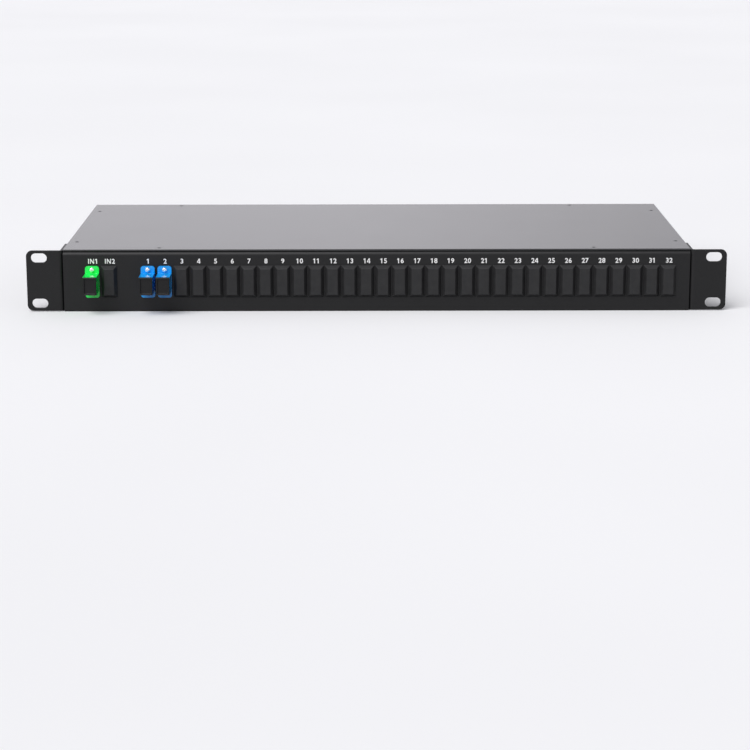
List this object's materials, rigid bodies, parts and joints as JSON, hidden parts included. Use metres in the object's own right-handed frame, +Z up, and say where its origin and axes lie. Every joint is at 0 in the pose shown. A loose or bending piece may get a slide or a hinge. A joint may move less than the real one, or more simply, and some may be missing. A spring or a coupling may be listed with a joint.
{
  "type": "rack optical distribution frame",
  "caption": "Shallow black rack-mount fibre distribution frame with slotted ears, a screwed-down top cover, capped simplex adapters and blank plugs along its front panel.",
  "frame": {"origin": "middle of the underside, with the dust caps counted in the depth", "axes": "+X is the right-hand end seen from the front, the front panel faces -Y, +Z is up"},
  "size_m": [0.4826, 0.2188, 0.0432],
  "materials": {
    "black_coat": "satin powder coat on folded steel",
    "screw_steel": "zinc-plated",
    "green_plastic": "glossy moulded",
    "blue_plastic": "glossy moulded",
    "black_plastic": "fine matt moulded",
    "pale_plastic": "moulded",
    "white_ceramic": "ground ceramic",
    "fibre_jacket": "extruded",
    "module_steel": "brushed"
  },
  "bodies": {
    "chassis": {"adapter_in1": "green_plastic", "adapter_out1": "blue_plastic", "adapter_out2": "blue_plastic", "adapter_screws": "screw_steel", "base_tray": "black_coat", "blank_03": "black_plastic", "blank_04": "black_plastic", "blank_05": "black_plastic", "blank_06": "black_plastic", "blank_07": "black_plastic", "blank_08": "black_plastic", "blank_09": "black_plastic", "blank_10": "black_plastic", "blank_11": "black_plastic", "blank_12": "black_plastic", "blank_13": "black_plastic", "blank_14": "black_plastic", "blank_15": "black_plastic", "blank_16": "black_plastic", "blank_17": "black_plastic", "blank_18": "black_plastic", "blank_19": "black_plastic", "blank_20": "black_plastic", "blank_21": "black_plastic", "blank_22": "black_plastic", "blank_23": "black_plastic", "blank_24": "black_plastic", "blank_25": "black_plastic", "blank_26": "black_plastic", "blank_27": "black_plastic", "blank_28": "black_plastic", "blank_29": "black_plastic", "blank_30": "black_plastic", "blank_31": "black_plastic", "blank_32": "black_plastic", "blank_in2": "black_plastic", "connector_in1": "green_plastic", "connector_out1": "blue_plastic", "connector_out2": "blue_plastic", "cover_screws": "screw_steel", "ear_screws": "screw_steel", "fibre_guide": "pale_plastic", "front_panel": "black_coat", "pigtail_in1": "fibre_jacket", "pigtail_out1": "fibre_jacket", "pigtail_out2": "fibre_jacket", "rack_ear_left": "black_coat", "rack_ear_right": "black_coat", "sleeve_holder_in1": "pale_plastic", "sleeve_holder_out1": "pale_plastic", "sleeve_holder_out2": "pale_plastic", "split_sleeve_in1": "white_ceramic", "split_sleeve_out1": "white_ceramic", "split_sleeve_out2": "white_ceramic", "splitter_module": "module_steel", "top_cover": "black_coat"},
    "cap_in1": {"dust_cap_in1": "black_plastic"},
    "cap_out1": {"dust_cap_out1": "black_plastic"},
    "cap_out2": {"dust_cap_out2": "black_plastic"}
  },
  "joints": [
    {"name": "cap_in1_pull", "type": "slide", "parent": "chassis", "child": "cap_in1", "axis": [0, -1, 0], "range_m": [0, 0.015]},
    {"name": "cap_out1_pull", "type": "slide", "parent": "chassis", "child": "cap_out1", "axis": [0, -1, 0], "range_m": [0, 0.015]},
    {"name": "cap_out2_pull", "type": "slide", "parent": "chassis", "child": "cap_out2", "axis": [0, -1, 0], "range_m": [0, 0.015]}
  ]
}
